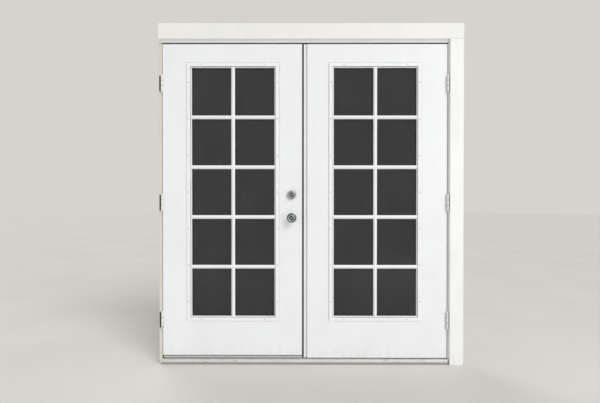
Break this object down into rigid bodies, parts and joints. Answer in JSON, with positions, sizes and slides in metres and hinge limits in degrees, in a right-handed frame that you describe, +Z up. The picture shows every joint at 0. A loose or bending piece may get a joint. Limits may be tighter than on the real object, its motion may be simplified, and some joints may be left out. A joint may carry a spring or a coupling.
{
  "type": "french doors",
  "caption": "White glazed entrance doors that open outwards from a middle seam, in a frame with sill and flat trim, with knob, deadbolt, flush bolts and astragal.",
  "frame": {"origin": "on the floor under the sill, midway between the jambs, in the plane of the jambs' outer edge", "axes": "+X to the right seen from outdoors, +Y indoors, +Z up"},
  "size_m": [1.97, 0.174, 2.205],
  "materials": {
    "leaf_skin": "white painted fibreglass",
    "leaf_core": "raw engineered timber, out of sight",
    "lite_plastic": "white moulded, satin",
    "glass": "clear float glass in a sealed unit",
    "spacer": "mill finish",
    "hinge_metal": "painted over with the frame",
    "sweep_seal": "matt grey",
    "frame_seal": "matt, weathered",
    "frame_wood": "white painted timber",
    "casing_wood": "white painted timber",
    "astragal_wood": "white painted timber",
    "sill_core": "raw timber, out of sight",
    "sill_metal": "anodised and weathered",
    "lock_metal": "satin nickel plate, slightly tarnished",
    "bolt_steel": "plain steel, satin"
  },
  "bodies": {
    "frame": {"left_jamb": "frame_wood", "right_jamb": "frame_wood", "head_jamb": "frame_wood", "head_casing": "casing_wood", "right_casing": "casing_wood", "sill_base": "sill_core", "sill_cover": "sill_metal", "sill_gasket": "frame_seal", "frame_seals": "frame_seal", "head_strike": "lock_metal", "jamb_hinge_plates": "hinge_metal"},
    "left_leaf": {"left_outer_skin": "leaf_skin", "left_inner_skin": "leaf_skin", "left_hinge_stile": "leaf_core", "left_meeting_stile": "leaf_core", "left_top_rail": "leaf_core", "left_bottom_rail": "leaf_core", "left_outer_lite_frame": "lite_plastic", "left_outer_grille": "lite_plastic", "left_inner_lite_frame": "lite_plastic", "left_inner_grille": "lite_plastic", "left_glass_panes": "glass", "left_pane_spacer": "spacer", "left_hinge_plates": "hinge_metal", "left_door_sweep": "sweep_seal", "lock_roses": "lock_metal", "latch_case": "lock_metal", "deadbolt_collar": "lock_metal", "deadbolt_case": "lock_metal"},
    "right_leaf": {"right_outer_skin": "leaf_skin", "right_inner_skin": "leaf_skin", "right_hinge_stile": "leaf_core", "right_meeting_stile": "leaf_core", "right_top_rail": "leaf_core", "right_bottom_rail": "leaf_core", "right_outer_lite_frame": "lite_plastic", "right_outer_grille": "lite_plastic", "right_inner_lite_frame": "lite_plastic", "right_inner_grille": "lite_plastic", "right_glass_panes": "glass", "right_pane_spacer": "spacer", "right_hinge_plates": "hinge_metal", "right_door_sweep": "sweep_seal", "astragal": "astragal_wood", "astragal_seal": "frame_seal", "latch_strike": "lock_metal", "deadbolt_strike": "lock_metal"},
    "knob": {"knobs": "lock_metal", "knob_spindle": "bolt_steel"},
    "knob_key_plug": {"knob_key_plug": "lock_metal"},
    "turn_button": {"turn_button": "lock_metal"},
    "latch_bolt": {"latch_bolt": "bolt_steel"},
    "deadbolt_thumbturn": {"deadbolt_thumbturn": "lock_metal"},
    "deadbolt_key_plug": {"deadbolt_key_plug": "lock_metal"},
    "deadbolt": {"deadbolt": "bolt_steel"},
    "top_flush_bolt": {"top_flush_bolt": "bolt_steel"},
    "bottom_flush_bolt": {"bottom_flush_bolt": "bolt_steel"}
  },
  "joints": [
    {"name": "left_leaf_hinge", "type": "hinge", "parent": "frame", "child": "left_leaf", "pos_m": [-0.925, -0.0087, 0], "axis": [0, 0, -1], "range_deg": [0, 165]},
    {"name": "right_leaf_hinge", "type": "hinge", "parent": "frame", "child": "right_leaf", "pos_m": [0.925, -0.0087, 0], "axis": [0, 0, 1], "range_deg": [0, 165]},
    {"name": "knob_turn", "type": "hinge", "parent": "left_leaf", "child": "knob", "pos_m": [-0.0855, 0, 0.951], "axis": [0, -1, 0], "range_deg": [0, 60]},
    {"name": "latch_slide", "type": "slide", "parent": "left_leaf", "child": "latch_bolt", "axis": [1, 0, 0], "range_m": [0, 0.012]},
    {"name": "knob_key_turn", "type": "hinge", "parent": "knob", "child": "knob_key_plug", "pos_m": [-0.0855, 0, 0.951], "axis": [0, -1, 0], "range_deg": [0, 90]},
    {"name": "turn_button_turn", "type": "hinge", "parent": "knob", "child": "turn_button", "pos_m": [-0.0855, 0, 0.951], "axis": [0, 1, 0], "range_deg": [0, 90]},
    {"name": "thumbturn_turn", "type": "hinge", "parent": "left_leaf", "child": "deadbolt_thumbturn", "pos_m": [-0.0855, 0, 1.101], "axis": [0, -1, 0], "range_deg": [0, 90]},
    {"name": "deadbolt_key_turn", "type": "hinge", "parent": "left_leaf", "child": "deadbolt_key_plug", "pos_m": [-0.0855, 0, 1.101], "axis": [0, -1, 0], "range_deg": [0, 90]},
    {"name": "deadbolt_slide", "type": "slide", "parent": "left_leaf", "child": "deadbolt", "axis": [1, 0, 0], "range_m": [0, 0.025]},
    {"name": "top_flush_bolt_slide", "type": "slide", "parent": "right_leaf", "child": "top_flush_bolt", "axis": [0, 0, 1], "range_m": [0, 0.019]},
    {"name": "bottom_flush_bolt_slide", "type": "slide", "parent": "right_leaf", "child": "bottom_flush_bolt", "axis": [0, 0, -1], "range_m": [0, 0.019]}
  ],
  "couplings": [
    {"joint": "latch_slide", "follows": "knob_turn", "m_per_rad": 0.011459},
    {"joint": "deadbolt_slide", "follows": "thumbturn_turn", "m_per_rad": 0.015915},
    {"joint": "deadbolt_key_turn", "follows": "thumbturn_turn", "ratio": 1}
  ]
}
